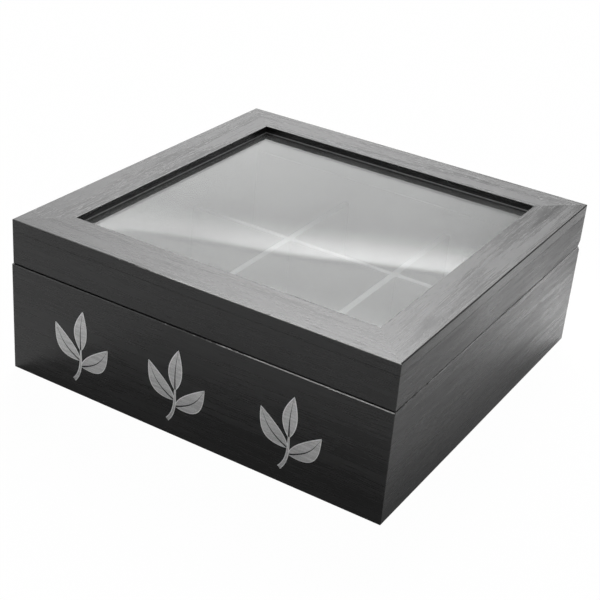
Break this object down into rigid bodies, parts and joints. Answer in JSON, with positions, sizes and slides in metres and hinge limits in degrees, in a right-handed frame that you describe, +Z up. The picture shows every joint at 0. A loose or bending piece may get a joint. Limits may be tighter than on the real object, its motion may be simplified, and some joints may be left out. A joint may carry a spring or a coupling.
{
  "type": "tea bag organizer box",
  "caption": "Square black wooden tea box with a grid of cells for tea bags, closed by a hinged lid with mitred frame boards round a glass window.",
  "frame": {"origin": "centre of the base's underside, on the surface that the box stands on", "axes": "+X to the box's right, -Y out of its front face, +Y out of its back face where the hinges are, +Z up"},
  "size_m": [0.24, 0.24, 0.0928],
  "materials": {
    "stained_wood": "black stain under satin lacquer, grain showing",
    "inner_wood": "black stain, matt",
    "window_glass": "clear polished float glass",
    "hinge_metal": "nickel plated"
  },
  "bodies": {
    "base": {"base_front_wall": "stained_wood", "base_right_wall": "stained_wood", "base_back_wall": "stained_wood", "base_left_wall": "stained_wood", "base_floor": "inner_wood", "cross_divider_front": "inner_wood", "cross_divider_rear": "inner_wood", "long_divider_left": "inner_wood", "long_divider_right": "inner_wood", "hinge_left_base_leaf": "hinge_metal", "hinge_left_pin": "hinge_metal", "hinge_right_base_leaf": "hinge_metal", "hinge_right_pin": "hinge_metal", "base_hinge_screws": "hinge_metal"},
    "lid": {"lid_front_wall": "stained_wood", "lid_right_wall": "stained_wood", "lid_back_wall": "stained_wood", "lid_left_wall": "stained_wood", "top_frame_front": "stained_wood", "top_frame_right": "stained_wood", "top_frame_back": "stained_wood", "top_frame_left": "stained_wood", "glass_pane": "window_glass", "bead_front": "inner_wood", "bead_right": "inner_wood", "bead_back": "inner_wood", "bead_left": "inner_wood", "hinge_left_lid_leaf": "hinge_metal", "hinge_right_lid_leaf": "hinge_metal", "lid_hinge_screws": "hinge_metal"}
  },
  "joints": [
    {"name": "lid_hinge", "type": "hinge", "parent": "base", "child": "lid", "pos_m": [0, 0.117, 0.06615], "axis": [-1, 0, 0], "range_deg": [0, 100]}
  ]
}
